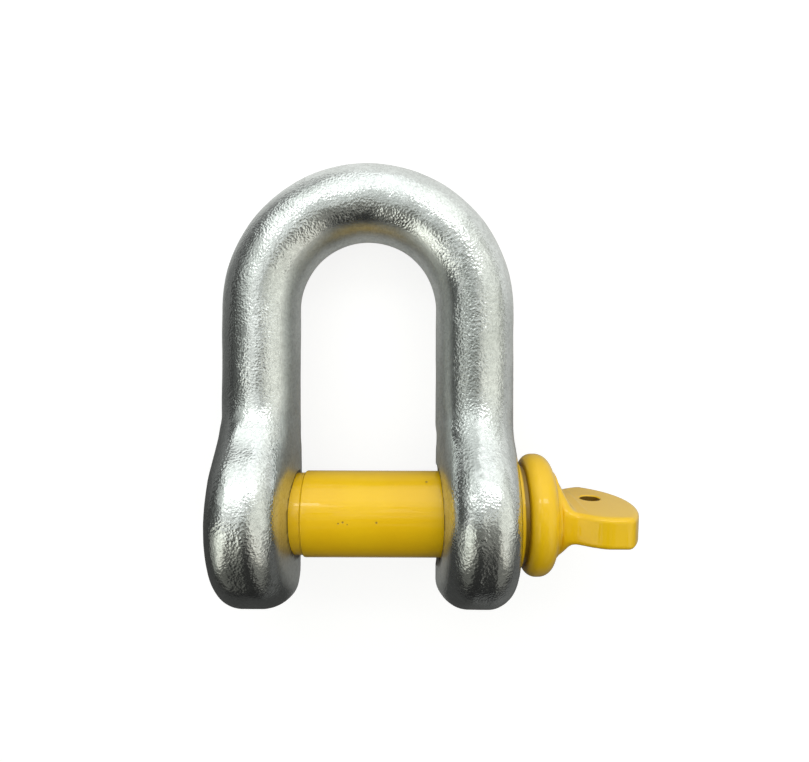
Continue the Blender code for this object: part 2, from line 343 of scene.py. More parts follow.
def forgedRelief(points, normals):
    # Height along the normal: waves, hammering, craters and the trimmed flash at z = 0
    f, s = forging, forgedSkin
    centre = np.zeros_like(points)
    centre[..., 1] = np.clip(points[..., 1], 0, f["bowY"])
    inward = -np.einsum("...i,...i->...", normals, unit(points - centre + 1e-9))
    onSide = np.abs(normals[..., 2]) < s["frontFrom"]
    inner = ease((inward - s["innerFrom"]) / s["innerSpan"]) * onSide
    grain = 1 - s["smoothInside"] * inner
    height = s["waviness"][0] * lumps(points, s["waviness"][1], seed=3)
    height = height + grain * s["hammering"][0] * lumps(points, s["hammering"][1], seed=5)
    nearest = craters(points, s["craterCell"], seed=11)
    dent = np.clip(1 - nearest ** 2 / s["craterWidth"], 0, 1)
    height = height - grain * s["craterDepth"] * dent
    flash = np.exp(-(points[..., 2] / f["partingWidth"]) ** 2)
    height = height + f["partingHeight"] * flash
    patch = (points[..., :2] - np.array(s["patchPlace"])) / np.array(s["patchReach"])
    patch = np.exp(-(patch ** 2).sum(axis=-1)) * s["patchStrength"]
    calm = np.maximum(ease((s["calmBelow"] - points[..., 1]) / s["calmFade"]), patch)
    return height, grain, calm


def turnedSurface(stations, radii, columns):
    # (x, r cos a, r sin a), with a radius for each station or for each station and angle
    around = np.linspace(0, 2 * np.pi, columns, endpoint=False)
    radii = radii if radii.ndim == 2 else np.repeat(radii[:, None], columns, axis=1)
    x = np.repeat(stations[:, None], columns, axis=1)
    return np.stack([x, radii * np.cos(around), radii * np.sin(around)], axis=-1)


bores = {
    "plainRadius": 0.0154,
    "plainChamfer": 0.0012,
    "threadCrest": 0.0136,
    "threadChamfer": 0.0008,
    "columns": 128,
    "overrun": 0.0016,
    "plainStep": 0.0004,
    "tappedStep": 0.00025,
    "markReach": 1.05,  # how far past a chamfer still counts as its wall
}

thread = {
    "crest": 0.0133,
    "pitch": 0.0030,
    "depth": 0.00175,
    "crestFlat": 0.10,  # share of the pitch
    "rootFlat": 0.20,
    "play": 0.0002,
}


def threadDepth(x, around):
    # 0 at the crest and 1 at the root, by the phase of x over the pitch less the turn
    phase = (x / thread["pitch"] - around / (2 * np.pi)) % 1.0
    fromCrest = np.abs(phase - 0.5) * 2
    low = thread["crestFlat"]
    high = 1 - thread["rootFlat"]
    return np.clip((fromCrest - low) / (high - low), 0, 1)


def boreTool(name, side, radiusAt, chamfer, step):
    # A drill along x: its radius, opened by a cone outside each face of the eye
    f = forging
    inner, outer = f["eyeX"] - f["eyeHalf"], f["eyeX"] + f["eyeHalf"]
    over = bores["overrun"]
    stations = np.arange(inner - over, outer + over + step / 2, step)
    around = np.linspace(0, 2 * np.pi, bores["columns"], endpoint=False)
    x, angle = np.meshgrid(side * stations, around, indexing="ij")
    radius = radiusAt(x, angle)
    outside = np.maximum(inner - stations, stations - outer)[:, None]
    mouth = bores["plainRadius"] if side > 0 else bores["threadCrest"]
    radius = np.maximum(radius, mouth + chamfer + outside)
    deep = (outside + chamfer < 0)
    radius = np.where(deep, radiusAt(x, angle), radius)
    grid = turnedSurface(side * stations, radius, bores["columns"])
    mesh = gridMesh(name, grid, (grid[0, 0, 0], 0, 0), (grid[-1, 0, 0], 0, 0))
    mesh.transform(layMatrix)
    return addObject(name, turnOutward(mesh))


def plainRadiusAt(x, around):
    # The same radius everywhere
    return np.full(x.shape, bores["plainRadius"])


def tappedRadiusAt(x, around):
    # The crest's radius less the thread's depth there
    root = bores["threadCrest"]
    return root - (thread["depth"] - thread["play"]) * threadDepth(x, around)


def pastBoreMouth(local):
    # Distance from the bores' axis less the radius of the mouth on that side
    plain = bores["plainRadius"] + bores["plainChamfer"] * bores["markReach"]
    tapped = bores["threadCrest"] + bores["threadChamfer"] * bores["markReach"]
    return np.hypot(local[:, 1], local[:, 2]) - np.where(local[:, 0] > 0, plain, tapped)


def makeForgedBody():
    # The skin moved out along its normals by the relief, then drilled
    points = forgedSurface()
    normals = fieldNormals(forgingField, points)
    height, grain, calm = forgedRelief(points, normals)
    skin = points + normals * height[..., None]
    foot = (forging["eyeX"], -forging["eyeRadius"], 0)
    poles = layDown(np.array([(-foot[0], foot[1], 0), foot]))
    mesh = gridMesh("forgedShackle", layDown(skin), poles[0], poles[1],
                    {"grain": grain, "calm": calm})
    body = addObject("forgedShackle", turnOutward(mesh))
    b = bores
    tapped = boreTool("tappedBore", -1, tappedRadiusAt, b["threadChamfer"], b["tappedStep"])
    plain = boreTool("plainBore", 1, plainRadiusAt, b["plainChamfer"], b["plainStep"])
    cutWith(body, [tapped, plain])
    markWall(body.data, "bored", pastBoreMouth, 0.0)
    smoothFaces(body.data, forging["sharpDegrees"])
    return body


# The screw pin: its turned part, then its flat head
pin = {
    "tipX": -0.04645,
    "tipChamfer": 0.0018,
    "threadEndX": -0.0268,
    "runout": 0.0030,
    "shoulderX": -0.0206,
    "radius": 0.0140,
    "edgeChamfer": 0.0007,
    "seatX": 0.04755,
    "seatRadius": 0.0176,
    "collarX": 0.05045,
    "collarRadius": 0.0198,
    "grooveWidth": 0.0014,
    "grooveDepth": 0.0017,
    "innerRound": 0.0036,
    "outerRound": 0.0046,
    "neckX": 0.05955,
    "neckRadius": 0.0140,
    "neckLength": 0.0068,
    "neckRound": 0.0016,
    "columns": 160,
    "threadStep": 0.00022,
    "sharpDegrees": 32,
}

head = {
    "endX": 0.08655,
    "halfWidth": 0.0190,
    "rootHalfWidth": 0.0130,
    "shoulderLength": 0.0165,
    "halfThick": 0.0050,
    "edgeRound": 0.0016,
    "cornerRound": 0.0012,
    "endRadius": 0.0260,
    "endOffset": 0.0030,
    "drop": 0.0005,
    "tilt": math.radians(5.5),
    "fillet": 0.0042,
    "holeRadius": 0.0033,
    "holeX": 0.07405,
    "holeZ": -0.0035,
    "holeRound": 0.0004,
    "hubBack": 0.0085,  # from the rounded end back to where its rays fan from
    "spread": 1.6,  # how much flatter than round the rays leave the axis
    "rows": 84,
    "endRows": 40,
}


def headField(points):
    # Plate cut to its outline, rounded at its edges, blended with a neck that flattens
    h = head
    x, y, z = points[..., 0], points[..., 1], points[..., 2]
    along = x - pin["neckX"]
    widen = np.clip(along / h["shoulderLength"], 0, 1)
    widen = widen ** 3 * (widen * (6 * widen - 15) + 10)
    width = h["rootHalfWidth"] + (h["halfWidth"] - h["rootHalfWidth"]) * widen
    bySide = np.abs(z) - width
    byEnd = np.hypot(x - (h["endX"] - h["endRadius"]), z - h["endOffset"]) - h["endRadius"]
    plan = roundedAnd(bySide, byEnd, h["cornerRound"])
    plate = roundedAnd(plan, np.abs(y) - h["halfThick"], h["edgeRound"])
    flat = ease(along / pin["neckLength"])
    tall = pin["neckRadius"] + (h["halfThick"] * 0.9 - pin["neckRadius"]) * flat
    power = 2 + 2 * flat
    reach = (np.abs(y) / tall) ** power + (np.abs(z) / pin["neckRadius"]) ** power
    neck = (reach ** (1 / power) - 1) * tall
    neck = np.maximum(neck, along - pin["neckLength"] * 1.25)
    blend = h["fillet"] * (1 - flat * 0.5)
    overlap = np.maximum(blend - np.abs(plate - neck), 0) / blend
    return np.minimum(plate, neck) - overlap ** 3 * blend / 6 * ease(along / 0.003)


def roundedAnd(a, b, radius):
    # Overlap of two fields whose meeting edge is rounded
    corner = np.hypot(np.maximum(a + radius, 0), np.maximum(b + radius, 0)) - radius
    return np.minimum(np.maximum(a, b), -radius) * (np.maximum(a, b) < -radius) + corner * (
        np.maximum(a, b) >= -radius)


def arcPoints(centreX, centreR, radius, startDeg, endDeg, count=9):
    # (x, r) = centre + radius (cos a, sin a), from one angle to the other
    angles = np.radians(np.linspace(startDeg, endDeg, count))
    return np.column_stack([centreX + radius * np.cos(angles), centreR + radius * np.sin(angles)])


def turnedPinGrid():
    # The turned profile, spun; along the thread the radius also follows the turn
    p = pin
    around = np.linspace(0, 2 * np.pi, p["columns"], endpoint=False)
    xs = np.arange(p["tipX"], p["threadEndX"] + p["runout"], p["threadStep"])
    x, angle = np.meshgrid(xs, around, indexing="ij")
    fade = 1 - ease((x - p["threadEndX"]) / p["runout"])
    radius = thread["crest"] - thread["depth"] * threadDepth(x, angle) * fade
    chamfer = thread["crest"] - p["tipChamfer"] + (x - p["tipX"])
    radius = np.minimum(radius, chamfer)
    threaded = turnedSurface(xs, radius, p["columns"])
    lip = 0.0003
    nearShoulder = [
        (xs[-1] + 0.0004, thread["crest"]),
        (p["shoulderX"] - lip, thread["crest"]),
        (p["shoulderX"], thread["crest"] + 0.00005),
        (p["shoulderX"] + 0.00005, thread["crest"] + lip / 2),
    ]
    shank = [(p["shoulderX"] + p["edgeChamfer"] * 0.8, p["radius"] - 0.00006),
             (p["shoulderX"] + p["edgeChamfer"] * 1.5, p["radius"])]
    straight = [(s, p["radius"]) for s in np.linspace(-0.0180, p["seatX"] - 0.0006, 60)]
    seat = [
        (p["seatX"] - 0.0001, p["radius"]),
        (p["seatX"], p["radius"] + 0.0001),
        (p["seatX"], p["seatRadius"] - 0.0006),
    ]
    seatEdge = arcPoints(p["seatX"] + 0.0005, p["seatRadius"] - 0.0005, 0.0005, 180, 90, 5)
    grooveX, root = p["collarX"] - p["grooveWidth"], p["seatRadius"] - p["grooveDepth"]
    groove = [
        (grooveX - 0.0001, p["seatRadius"]),
        (grooveX, p["seatRadius"] - 0.0001),
        (grooveX + 0.0001, root),
        (p["collarX"] - 0.0001, root),
    ]
    inner = arcPoints(p["collarX"] + p["innerRound"], p["collarRadius"] - p["innerRound"],
                      p["innerRound"], 184, 90, 14)
    outer = arcPoints(p["neckX"] - p["outerRound"], p["collarRadius"] - p["outerRound"],
                      p["outerRound"], 90, 2, 18)
    neckRoot = arcPoints(p["neckX"] + p["neckRound"], p["neckRadius"] + p["neckRound"],
                         p["neckRound"], 184, 262, 8)
    profile = np.concatenate([
        nearShoulder, shank, straight, seat, seatEdge, groove, inner, outer, neckRoot])
    turned = turnedSurface(profile[:, 0], profile[:, 1], p["columns"])
    return np.concatenate([threaded, turned])


def headGrid(startX):
    # Rays leave the pin's axis square to it, then fan forward over the rounded end
    h = head
    around = np.linspace(0, 2 * np.pi, pin["columns"], endpoint=False)[None, :]
    hub = h["endX"] - h["hubBack"]
    along = startX + (hub - startX) * np.linspace(0, 1, h["rows"])
    flat = 1 + h["spread"] * ease((along - startX) / (pin["neckLength"] * 1.3))[:, None]
    turn = np.concatenate([np.zeros(h["rows"]),
                           np.linspace(0, math.pi / 2, h["endRows"] + 2)[1:-1]])[:, None]
    flat = np.concatenate([flat, np.full((h["endRows"], 1), flat[-1, 0])])
    x = np.concatenate([along, np.full(h["endRows"], hub)])[:, None]
    direction = np.stack([
        np.sin(turn) * np.ones_like(around),
        np.cos(turn) * np.cos(around) / flat,
        np.cos(turn) * np.sin(around)], axis=-1)
    direction = unit(direction)
    origin = np.zeros_like(direction)
    origin[..., 0] = x
    return reachSurface(headField, origin, direction, 0.0006)


def makeWireHole():
    # A drill across the plate whose mouths open in a small round
    h = head
    half, round_ = h["halfThick"], h["holeRound"]
    profile = [(-half - 0.004, h["holeRadius"] + round_ + 0.004)]
    for angle in np.linspace(0, math.pi / 2, 6):
        profile.append((-half + round_ * math.sin(angle),
                        h["holeRadius"] + round_ * (1 - math.sin(angle)) * math.cos(angle)))
    profile = np.array(profile)
    mirrored = profile[::-1] * np.array((-1, 1))
    profile = np.concatenate([profile, mirrored])
    grid = turnedSurface(profile[:, 0], profile[:, 1], 64)
    mesh = gridMesh("wireHole", grid, (profile[0, 0], 0, 0), (profile[-1, 0], 0, 0))
    place = Matrix.Rotation(h["tilt"], 4, "X")
    place = place @ Matrix.Translation((h["holeX"], 0, h["holeZ"]))
    place = Matrix.Translation((0, -h["drop"], 0)) @ place @ Matrix.Rotation(math.pi / 2, 4, "Z")
    mesh.transform(layMatrix @ place)
    return addObject("wireHole", turnOutward(mesh))


def fromHoleAxis(local):
    # In the head's own frame, the distance across the drill's axis
    own = local + np.array((0, head["drop"], 0))
    own = own @ np.array(Matrix.Rotation(head["tilt"], 3, "X"))
    return np.hypot(own[:, 0] - head["holeX"], own[:, 2] - head["holeZ"])


def makeScrewPin():
    # The turned rings and the head's rings as one grid, the head tipped and lowered a little
    turned = turnedPinGrid()
    plate = headGrid(turned[-1, 0, 0] + 0.0004)
    grid = np.concatenate([turned, plate])
    tilt = np.array(Matrix.Rotation(head["tilt"], 3, "X"))
    grid = grid @ tilt.T
    grid[..., 1] -= head["drop"] * ease((grid[..., 0] - pin["neckX"]) / pin["neckLength"])
    endPole = layDown(np.array([(head["endX"], -head["drop"], 0.0)]))[0]
    startPole = layDown(np.array([(pin["tipX"], 0.0, 0.0)]))[0]
    mesh = gridMesh("screwPin", layDown(grid), startPole, endPole)
    obj = addObject("screwPin", turnOutward(mesh))
    cutWith(obj, [makeWireHole()])
    markWall(obj.data, "drilled", fromHoleAxis, head["holeRadius"] * 1.01)
    smoothFaces(obj.data, pin["sharpDegrees"])
    return obj


class Nodes:
    # Adds nodes to a tree and links or sets their inputs by name
    def __init__(self, tree):
        self.tree = tree

    def add(self, kind, settings=None, **inputs):
        # A node with its settings, whose inputs take a link or a value under their own names
        node = self.tree.nodes.new(kind)
        for key, value in (settings or {}).items():
            setattr(node, key, value)
        for key, value in inputs.items():
            socket = node.inputs[key.replace("_", " ")]
            if isinstance(value, bpy.types.NodeSocket):
                self.tree.links.new(value, socket)
            else:
                socket.default_value = value
        return node

    def math(self, operation, a, b=0.0):
        # operation(a, b), each a link or a number
        node = self.tree.nodes.new("ShaderNodeMath")
        node.operation = operation
        for index, value in enumerate((a, b)):
            if isinstance(value, bpy.types.NodeSocket):
                self.tree.links.new(value, node.inputs[index])
            else:
                node.inputs[index].default_value = value
        return node.outputs[0]

    def ramp(self, factor, stops):
        # Colors at their places along the factor
        node = self.tree.nodes.new("ShaderNodeValToRGB")
        self.tree.links.new(factor, node.inputs["Fac"])
        while len(node.color_ramp.elements) < len(stops):
            node.color_ramp.elements.new(0.5)
        for element, (place, color) in zip(node.color_ramp.elements, stops):
            element.position = place
            element.color = (*color, 1.0)
        return node.outputs["Color"]

    def blend(self, factor, first, second):
        # first (1 - factor) + second factor
        node = self.tree.nodes.new("ShaderNodeMix")
        node.data_type = "RGBA"
        self.tree.links.new(factor, node.inputs["Factor"])
        self.tree.links.new(first, node.inputs[6])
        node.inputs[7].default_value = (*second, 1.0)
        return node.outputs[2]

    def spread(self, factor, low, high):
        # low + (high - low) factor, held between them
        node = self.tree.nodes.new("ShaderNodeMapRange")
        self.tree.links.new(factor, node.inputs["Value"])
        node.inputs["To Min"].default_value = low
        node.inputs["To Max"].default_value = high
        return node.outputs["Result"]


def newMaterial(name):
    # An empty node tree with only its output
    material = bpy.data.materials.new(name)
    material.use_nodes = True
    material.node_tree.nodes.clear()
    kit = Nodes(material.node_tree)
    output = kit.add("ShaderNodeOutputMaterial")
    return material, kit, output


zinc = {
    "brightColor": (0.73, 0.755, 0.75),
    "dullColor": (0.60, 0.625, 0.615),
    "smoothRoughness": 0.15,
    "dullRoughness": 0.24,
    "innerRoughness": 0.40,  # on the smooth faces inside the dee
    "innerBand": (0.2, 0.8),  # shares of the grain between which it changes
    "boreGreaseAndShadeColor": (0.20, 0.20, 0.19),  # machined and greasy, and darker still as painted shade in the gap round the pin
    "boreRoughness": 0.45,
    "bloomScale": 75.0,  # per metre
    "bloomBand": (0.30, 0.68),
    "speckScale": 950.0,
    "speckBand": (0.34, 0.60),
    "speckDepth": 0.20,  # how much darker the dark specks are
    "patchScale": 110.0,  # where the skin is rough and where it ran smooth
    "patchBand": (0.38, 0.62),
    "patchLeast": 0.30,  # what is left of the pits where it ran smooth
    "leastGrain": 0.12,
    "shadedStripePlace": (0.0122, 0.0050, 0.0),  # a darker, rougher stripe along the right leg: painted shade, with more pits in it
    "shadedStripeReach": (0.0042, 0.0480, 1.0),
    "shadedStripeBand": (1.35, 1.85),  # where it fades out, measured in its reach with the fray
    "shadedStripeShare": 0.8,
    # painted shade: the stripe's darker colour
    "shadedStripeColor": (0.33, 0.35, 0.34),
    "shadedStripeRoughness": 0.28,
    "frayScale": 320.0,
    "fray": 1.6,
    "calmGrain": 0.85,  # what is left of the grain on the eyes and in the smooth patch
    "rippleScale": 520.0,
    "rippleHeight": 0.00004,
    "wobbleScale": 420.0,  # bends the pits out of round
    "wobble": 0.0010,
    "pitScale": 1300.0,
    "pitHeight": 0.00013,
    "grainScale": 2600.0,
    "grainHeight": 0.000010,
}


def makeZinc():
    # Bloom and specks, a stripe of painted shade on the right leg and the darker bores (grease
    # and painted shade) in color and roughness; in height, ripples with pits and grain over them,
    # less where the skin is smooth
    material, kit, output = newMaterial("galvanisedZinc")
    where = kit.add("ShaderNodeTexCoord").outputs["Object"]
    bloom = kit.add("ShaderNodeTexNoise", Vector=where, Scale=zinc["bloomScale"],
                    Detail=4.0, Roughness=0.6).outputs["Fac"]
    color = kit.ramp(bloom, [(zinc["bloomBand"][0], zinc["dullColor"]),
                             (zinc["bloomBand"][1], zinc["brightColor"])])
    roughness = kit.spread(bloom, zinc["dullRoughness"], zinc["smoothRoughness"])
    specks = kit.add("ShaderNodeTexNoise", Vector=where, Scale=zinc["speckScale"],
                     Detail=3.0, Roughness=0.62, Distortion=0.8).outputs["Fac"]
    specks = kit.add("ShaderNodeMapRange", Value=specks, From_Min=zinc["speckBand"][0],
                     From_Max=zinc["speckBand"][1], To_Min=1 - zinc["speckDepth"],
                     To_Max=1.0).outputs["Result"]
    color = kit.add("ShaderNodeVectorMath", {"operation": "SCALE"}, Vector=color,
                    Scale=specks).outputs["Vector"]
    # The stripe along the right leg: painted shade, rougher and more pitted than the zinc round
    # it
    fromShadedStripe = kit.add("ShaderNodeVectorMath", {"operation": "SUBTRACT"}, Vector=where)
    fromShadedStripe.inputs[1].default_value = zinc["shadedStripePlace"]
    fromShadedStripe = kit.add("ShaderNodeVectorMath", {"operation": "DIVIDE"},
                       Vector=fromShadedStripe.outputs["Vector"])
    fromShadedStripe.inputs[1].default_value = zinc["shadedStripeReach"]
    fromShadedStripe = kit.add("ShaderNodeVectorMath", {"operation": "LENGTH"},
                       Vector=fromShadedStripe.outputs["Vector"]).outputs["Value"]
    fray = kit.add("ShaderNodeTexNoise", Vector=where, Scale=zinc["frayScale"],
                   Detail=4.0, Roughness=0.7).outputs["Fac"]
    fromShadedStripe = kit.math("ADD", fromShadedStripe, kit.math("MULTIPLY", fray, zinc["fray"]))
    shadedStripe = kit.add("ShaderNodeMapRange", {"interpolation_type": "SMOOTHSTEP"}, Value=fromShadedStripe,
                   From_Min=zinc["shadedStripeBand"][0], From_Max=zinc["shadedStripeBand"][1],
                   To_Min=1.0, To_Max=0.0).outputs["Result"]
    # painted shade: the stripe darkens the zinc's colour
    color = kit.blend(kit.math("MULTIPLY", shadedStripe, zinc["shadedStripeShare"]), color, zinc["shadedStripeColor"])
    roughness = kit.add("ShaderNodeMapRange", Value=shadedStripe, To_Min=roughness,
                        To_Max=zinc["shadedStripeRoughness"]).outputs["Result"]
    skin = kit.add("ShaderNodeAttribute", {"attribute_name": "grain"}).outputs["Fac"]
    roughness = kit.add("ShaderNodeMapRange", Value=skin, From_Min=zinc["innerBand"][0],
                        From_Max=zinc["innerBand"][1], To_Min=zinc["innerRoughness"],
                        To_Max=roughness).outputs["Result"]
    # Bore walls: greasy bare steel, darkened further as painted shade in the gap round the pin
    bored = kit.add("ShaderNodeAttribute", {"attribute_name": "bored"}).outputs["Fac"]
    color = kit.blend(bored, color, zinc["boreGreaseAndShadeColor"])
    roughness = kit.add("ShaderNodeMapRange", Value=bored, To_Min=roughness,
                        To_Max=zinc["boreRoughness"]).outputs["Result"]
    wobble = kit.add("ShaderNodeTexNoise", Vector=where, Scale=zinc["wobbleScale"], Detail=2.0)
    bent = kit.add("ShaderNodeVectorMath", {"operation": "MULTIPLY_ADD"}).outputs["Vector"]
    kit.tree.links.new(wobble.outputs["Color"], bent.node.inputs[0])
    bent.node.inputs[1].default_value = (zinc["wobble"],) * 3
    kit.tree.links.new(where, bent.node.inputs[2])
    ripples = kit.add("ShaderNodeTexNoise", Vector=where, Scale=zinc["rippleScale"],
                      Detail=1.5, Roughness=0.5, Distortion=1.6).outputs["Fac"]
    pits = kit.add("ShaderNodeTexVoronoi", {"feature": "SMOOTH_F1"}, Vector=bent,
                   Scale=zinc["pitScale"], Smoothness=0.25).outputs["Distance"]
    grain = kit.add("ShaderNodeTexNoise", Vector=where, Scale=zinc["grainScale"],
                    Detail=3.0, Roughness=0.65).outputs["Fac"]
    calm = kit.add("ShaderNodeAttribute", {"attribute_name": "calm"}).outputs["Fac"]
    calm = kit.add("ShaderNodeMapRange", Value=calm, To_Min=1.0,
                   To_Max=zinc["calmGrain"]).outputs["Result"]
    patches = kit.add("ShaderNodeTexNoise", Vector=where, Scale=zinc["patchScale"],
                      Detail=3.0, Roughness=0.6).outputs["Fac"]
    patches = kit.add("ShaderNodeMapRange", Value=patches, From_Min=zinc["patchBand"][0],
                      From_Max=zinc["patchBand"][1], To_Min=zinc["patchLeast"],
                      To_Max=1.0).outputs["Result"]
    mask = kit.math("MAXIMUM", kit.math("MULTIPLY", skin, calm), zinc["leastGrain"])
    rough = kit.math("MULTIPLY", mask, kit.math("MAXIMUM", patches, shadedStripe))
    first = kit.add("ShaderNodeBump", Strength=mask, Distance=zinc["rippleHeight"],
                    Height=ripples)
    second = kit.add("ShaderNodeBump", Strength=rough, Distance=zinc["pitHeight"],
                     Height=pits, Normal=first.outputs["Normal"])
    third = kit.add("ShaderNodeBump", Strength=rough, Distance=zinc["grainHeight"],
                    Height=grain, Normal=second.outputs["Normal"])
    shader = kit.add("ShaderNodeBsdfPrincipled", Base_Color=color, Metallic=1.0,
                     Roughness=roughness, Normal=third.outputs["Normal"])
    kit.tree.links.new(shader.outputs["BSDF"], output.inputs["Surface"])
    return material


paint = {
    "color": (0.91, 0.556, 0.006),
    "deepColor": (0.87, 0.515, 0.005),
    "roughness": 0.42,
    "shineTint": (1.0, 0.78, 0.20),  # the pigment's own sheen under the clear top layer
    "coat": 0.75,
    "coatRoughness": 0.04,
    "cloudScale": 60.0,
    "cloudBand": (0.35, 0.65),
    "peelScale": 330.0,
    "peelHeight": 0.00003,
    "peelStrength": 0.5,
    "holeDirtAndShadeColor": (0.16, 0.085, 0.012),  # thin, dirty paint on the drilled wall, darker still as painted shade inside the hole
    "grooveShadeColor": (0.22, 0.12, 0.01),  # painted shade in the groove before the collar
    "grooveShade": 0.85,
    "grooveShadeMiddle": 0.45,  # in shares of the groove's width, from the collar back
    "grooveShadeBand": (0.35, 0.95),  # the same, from its middle out
    "pitColor": (0.38, 0.22, 0.02),
    "pitBand": (0.35, 1.25),  # in shares of a pit's radius
    "pitDent": 6.0,
    "pits": {  # place in the shackle's frame and radius, metres
        "collarPit": ((0.0513, 0.0155, 0.0123), 0.00065),
        "shankPit": ((0.0191, 0.0117, 0.0077), 0.00050),
        "middlePit": ((0.0035, 0.0, 0.0140), 0.00042),
        "leftPit": ((-0.0069, 0.0001, 0.0140), 0.00042),
        "leftPitPair": ((-0.0083, -0.0003, 0.0140), 0.00034),
        "edgePit": ((-0.0055, -0.0006, 0.0140), 0.00026),
    },
}


def makePaint():
    # Cloudy yellow, then the drilled wall (dirty paint and painted shade), painted shade in the
    # groove and the pits over it, in an uneven coat
    material, kit, output = newMaterial("yellowEnamel")
    where = kit.add("ShaderNodeTexCoord").outputs["Object"]
    cloud = kit.add("ShaderNodeTexNoise", Vector=where, Scale=paint["cloudScale"],
                    Detail=3.0).outputs["Fac"]
    color = kit.ramp(cloud, [(paint["cloudBand"][0], paint["deepColor"]),
                             (paint["cloudBand"][1], paint["color"])])
    # Drilled wall: dirty paint, darkened further as painted shade inside the hole
    drilled = kit.add("ShaderNodeAttribute", {"attribute_name": "drilled"}).outputs["Fac"]
    color = kit.blend(drilled, color, paint["holeDirtAndShadeColor"])
    # Painted shade in the groove before the collar, darkest near its middle
    width = pin["grooveWidth"]
    grooveMiddle = lying["place"][0] + pin["collarX"] - width * paint["grooveShadeMiddle"]
    across = kit.add("ShaderNodeSeparateXYZ", Vector=where).outputs["X"]
    across = kit.math("ABSOLUTE", kit.math("SUBTRACT", across, grooveMiddle))
    grooveShade = kit.add("ShaderNodeMapRange", {"interpolation_type": "SMOOTHSTEP"}, Value=across,
                    From_Min=width * paint["grooveShadeBand"][0],
                    From_Max=width * paint["grooveShadeBand"][1],
                    To_Min=paint["grooveShade"], To_Max=0.0).outputs["Result"]
    color = kit.blend(grooveShade, color, paint["grooveShadeColor"])
    pitted = 0.0
    for place, radius in paint["pits"].values():
        apart = kit.add("ShaderNodeVectorMath", {"operation": "DISTANCE"}, Vector=where)
        apart.inputs[1].default_value = layMatrix @ Vector(place)
        spot = kit.add("ShaderNodeMapRange", {"interpolation_type": "SMOOTHSTEP"},
                       Value=apart.outputs["Value"], From_Min=radius * paint["pitBand"][0],
                       From_Max=radius * paint["pitBand"][1], To_Min=1.0, To_Max=0.0)
        pitted = kit.math("MAXIMUM", spot.outputs["Result"], pitted)
    color = kit.blend(pitted, color, paint["pitColor"])
    peel = kit.add("ShaderNodeTexNoise", Vector=where, Scale=paint["peelScale"],
                   Detail=2.0).outputs["Fac"]
    peel = kit.math("SUBTRACT", peel, kit.math("MULTIPLY", pitted, paint["pitDent"]))
    bump = kit.add("ShaderNodeBump", Strength=paint["peelStrength"],
                   Distance=paint["peelHeight"], Height=peel)
    shader = kit.add("ShaderNodeBsdfPrincipled", Base_Color=color,
                     Roughness=paint["roughness"], Normal=bump.outputs["Normal"],
                     Specular_Tint=(*paint["shineTint"], 1.0),
                     Coat_Weight=paint["coat"], Coat_Roughness=paint["coatRoughness"])
    kit.tree.links.new(bump.outputs["Normal"], shader.inputs["Coat Normal"])
    kit.tree.links.new(shader.outputs["BSDF"], output.inputs["Surface"])
    return material


body = makeForgedBody()
body.data.materials.clear()
body.data.materials.append(makeZinc())
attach(body, "shackle")
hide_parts("shackle_body")
print("forged body:", len(body.data.polygons), "faces")

screw = makeScrewPin()
screw.data.materials.clear()
screw.data.materials.append(makePaint())
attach(screw, "pin")
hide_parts("screw_pin")
print("screw pin:", len(screw.data.polygons), "faces")


# The floor, as the camera sees it and as the metal mirrors it
studio = {
    "nearShade": 0.05,  # the floor's own colour in front and on the left,
    "farShade": 0.70,  # and behind and on the right, where it is lit
    "floorSize": 3.0,
    "floorSquares": 8,
    "floorDrop": 0.0001,  # below the ground, so that it shares no face with the object
    "seenShade": 0.30,  # the floor's own colour as the camera sees it,
    "seenLift": 0.83,  # and the white added to it there,
    "farWhite": (0.35, 0.90),  # all white from here on, metres from the middle
    "metalLift": 0.03,  # white added where metal and gloss mirror it,
    "mirrorLift": 0.45,  # and what more is added where it is brightest
    "brightLift": (0.56, 0.92),  # how bright it grows on its right and its far side,
    "brightFrom": (0.000, -0.09),  # from these distances
    "brightTo": (0.072, 0.100),  # to these
    "darkFront": (-0.078, -0.030),  # the right side isn't lit in front of here,
    "darkSide": (-0.105, -0.050),  # nor the far side left of here
    "darkLeft": 0.18,  # what is left of the light there
    "gapLift": 0.42,  # how bright the floor is between the eyes,
    "gapEdges": (0.016, 0.034),  # from the middle of the gap outwards
    "gapFront": (-0.105, -0.080),
    "hollow": 0.05,  # how near a piece must be to shade the mirrored floor
    "hollowSamples": 4,
    "roomColor": (0.02, 0.02, 0.02),
}

# Rings of soft panels round the shackle, in its own frame: elevation and height in degrees,
# then how bright each panel is, from the head's side round by the bow
softRings = {
    "low": (6, 12, (0.55, 0.60, 1.15, 1.25, 0.80, 0.02, 0.04, 0.26, 0.12, 0.01, 0.20, 0.32)),
    "knee": (18, 12, (0.90, 0.90, 1.40, 1.60, 1.13, 0.18, 0.08, 0.42, 0.12, 0.01, 0.20, 0.44)),
    "waist": (30, 12, (1.10, 1.15, 1.50, 1.65, 1.55, 0.50, 0.10, 0.90, 0.12, 0.01, 0.20, 0.86)),
    "chest": (43, 14, (1.05, 1.10, 1.44, 1.65, 1.55, 0.86, 0.20, 1.30, 0.15, 0.01, 0.16, 1.02)),
    "head": (57, 14, (1.00, 1.03, 1.15, 1.25, 1.45, 1.10, 0.32, 1.15, 0.16, 0.01, 0.14, 1.02)),
    "crown": (71, 14, (0.76, 0.60, 0.85, 0.34, 0.18, 0.24)),
    "top": (83, 12, (0.36, 0.56, 0.46, 0.12)),
}
sideColors = {  # by azimuth, blended between these
    0: (0.99, 1.0, 0.90),
    90: (0.97, 1.0, 0.98),
    180: (0.95, 1.0, 0.93),
    225: (0.99, 1.0, 0.86),
    315: (1.0, 0.98, 0.88),
    360: (0.99, 1.0, 0.90),
}
